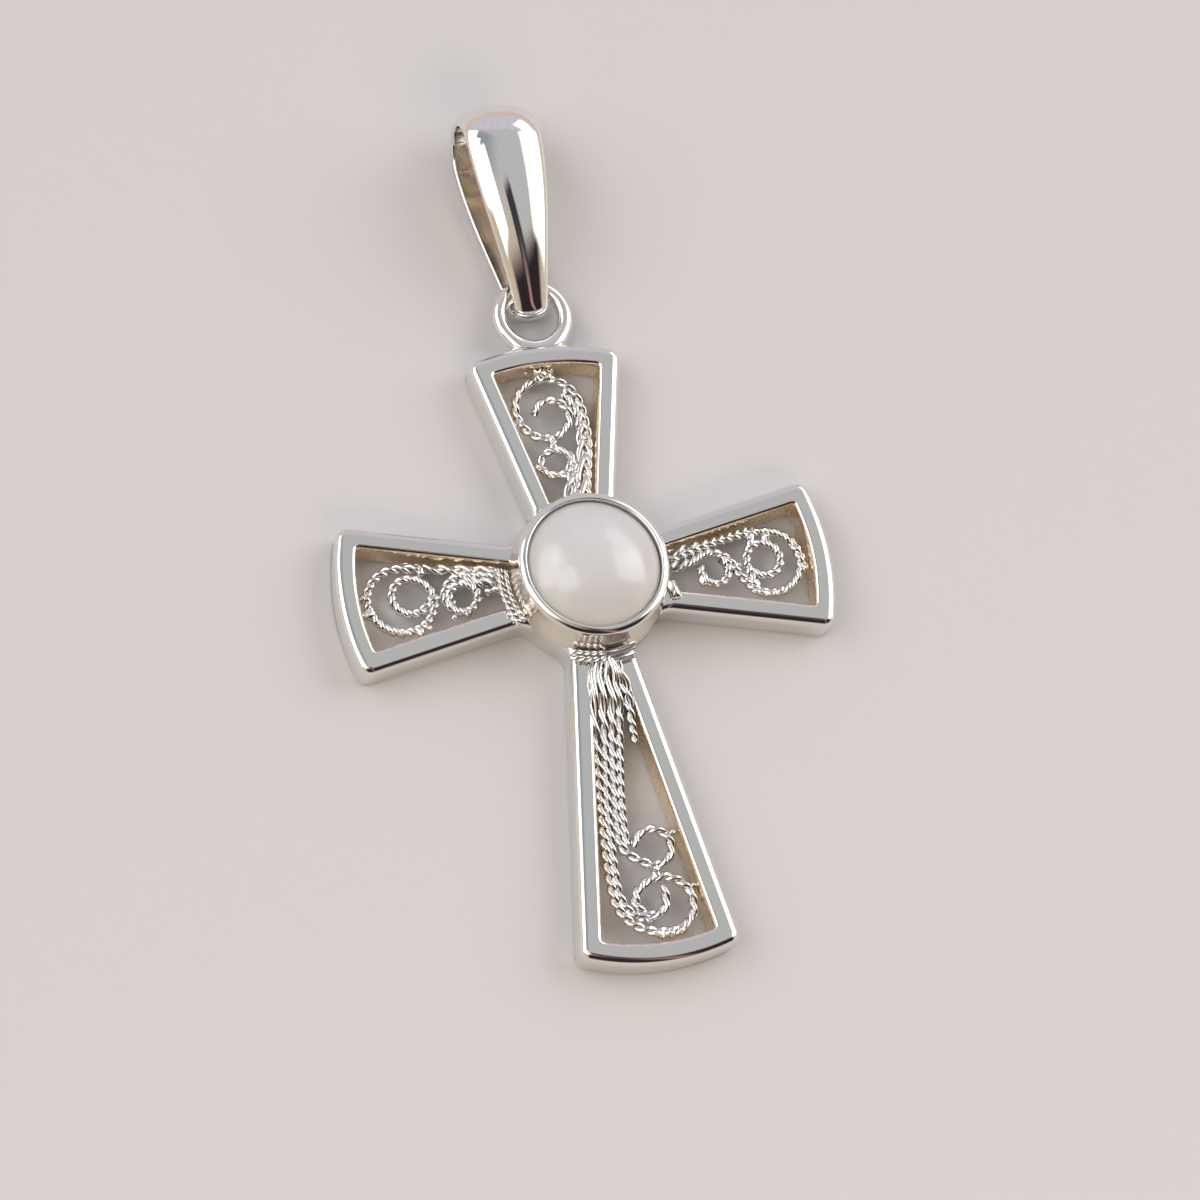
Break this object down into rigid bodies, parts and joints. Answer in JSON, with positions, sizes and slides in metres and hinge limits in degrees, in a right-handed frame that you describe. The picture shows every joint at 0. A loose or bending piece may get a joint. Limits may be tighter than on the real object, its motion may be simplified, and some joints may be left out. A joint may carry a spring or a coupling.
{
  "type": "filigree cross pendant",
  "caption": "Cross pendant of polished silver with flared open arms filled with twisted wire scrolls, a round domed stone in a bezel, a soldered ring and a teardrop bail, lying on its back.",
  "frame": {"origin": "on the flat back, under the centre of the round stone", "axes": "+X across the short arms, +Y along the cross towards the bail, +Z out of the front face; the pendant lies on the plane z = 0"},
  "size_m": [0.0248, 0.0449, 0.0047],
  "materials": {
    "polished_silver": "mirror polished silver",
    "twisted_wire": "bright twisted silver wire with beads of solder",
    "cabochon": "polished milky white stone"
  },
  "bodies": {
    "root": {"cross_frame": "polished_silver", "stone": "cabochon", "bail": "polished_silver", "filigree_top": "twisted_wire", "filigree_left": "twisted_wire", "filigree_right": "twisted_wire", "filigree_foot": "twisted_wire"}
  },
  "joints": []
}
